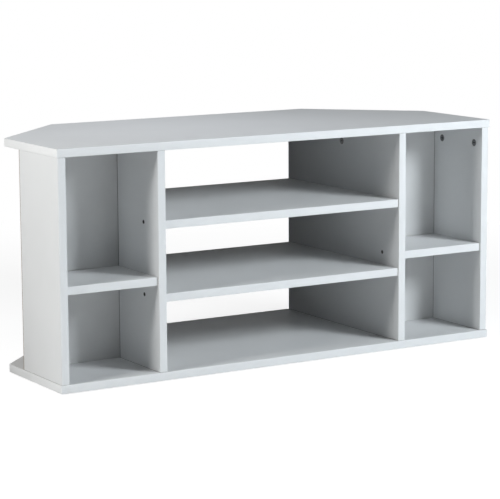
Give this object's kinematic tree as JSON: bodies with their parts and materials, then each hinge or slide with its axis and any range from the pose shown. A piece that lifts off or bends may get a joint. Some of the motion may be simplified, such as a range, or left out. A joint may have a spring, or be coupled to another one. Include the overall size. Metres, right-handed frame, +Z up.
{
  "type": "corner media unit",
  "caption": "Low white open corner media unit: a wide shelved middle open front to back, a small backed bay with a shelf at each end, and angled rear corners on the top and base.",
  "frame": {"origin": "on the floor, at the middle of the overall width and depth", "axes": "+X along the front edge to the viewer's right, +Y from the front towards the room's corner, +Z up"},
  "size_m": [1, 0.428, 0.465],
  "materials": {
    "white_board": "chipboard with a white melamine face, fine satin texture",
    "hardboard": "thin hardboard, white face, brown back",
    "white_banding": "white edge banding, smooth satin",
    "zinc": "die-cast zinc, dull",
    "steel": "dark plated steel",
    "beech": "plain turned beech",
    "glide_plastic": "moulded plastic"
  },
  "bodies": {
    "carcass": {"top_panel": "white_board", "base_panel": "white_board", "left_side_panel": "white_board", "right_side_panel": "white_board", "left_divider": "white_board", "right_divider": "white_board", "upper_middle_shelf": "white_board", "lower_middle_shelf": "white_board", "left_bay_shelf": "white_board", "right_bay_shelf": "white_board", "left_back_panel": "hardboard", "right_back_panel": "hardboard", "top_edge_band": "white_banding", "base_edge_band": "white_banding", "left_side_edge_band": "white_banding", "right_side_edge_band": "white_banding", "left_divider_edge_band": "white_banding", "right_divider_edge_band": "white_banding", "upper_middle_shelf_edge_band": "white_banding", "lower_middle_shelf_edge_band": "white_banding", "left_bay_shelf_edge_band": "white_banding", "right_bay_shelf_edge_band": "white_banding", "cam_bolts": "steel", "base_screws": "steel", "middle_shelf_screws": "steel", "bay_shelf_screws": "steel", "back_panel_pins": "steel", "top_dowels": "beech", "base_dowels": "beech", "bay_shelf_dowels": "beech", "floor_glides": "glide_plastic"},
    "left_side_front_cam": {"left_side_front_cam": "zinc"},
    "left_side_rear_cam": {"left_side_rear_cam": "zinc"},
    "left_divider_cam": {"left_divider_cam": "zinc"},
    "right_side_front_cam": {"right_side_front_cam": "zinc"},
    "right_side_rear_cam": {"right_side_rear_cam": "zinc"},
    "right_divider_cam": {"right_divider_cam": "zinc"}
  },
  "joints": [
    {"name": "left_side_front_cam_turn", "type": "hinge", "parent": "carcass", "child": "left_side_front_cam", "pos_m": [-0.482, -0.1845, 0.415], "axis": [1, 0, 0], "range_deg": [0, 180]},
    {"name": "left_side_rear_cam_turn", "type": "hinge", "parent": "carcass", "child": "left_side_rear_cam", "pos_m": [-0.482, -0.0725, 0.415], "axis": [1, 0, 0], "range_deg": [0, 180]},
    {"name": "left_divider_cam_turn", "type": "hinge", "parent": "carcass", "child": "left_divider_cam", "pos_m": [-0.272, 0, 0.415], "axis": [1, 0, 0], "range_deg": [0, 180]},
    {"name": "right_side_front_cam_turn", "type": "hinge", "parent": "carcass", "child": "right_side_front_cam", "pos_m": [0.482, -0.1845, 0.415], "axis": [-1, 0, 0], "range_deg": [0, 180]},
    {"name": "right_side_rear_cam_turn", "type": "hinge", "parent": "carcass", "child": "right_side_rear_cam", "pos_m": [0.482, -0.0725, 0.415], "axis": [-1, 0, 0], "range_deg": [0, 180]},
    {"name": "right_divider_cam_turn", "type": "hinge", "parent": "carcass", "child": "right_divider_cam", "pos_m": [0.272, 0, 0.415], "axis": [-1, 0, 0], "range_deg": [0, 180]}
  ]
}
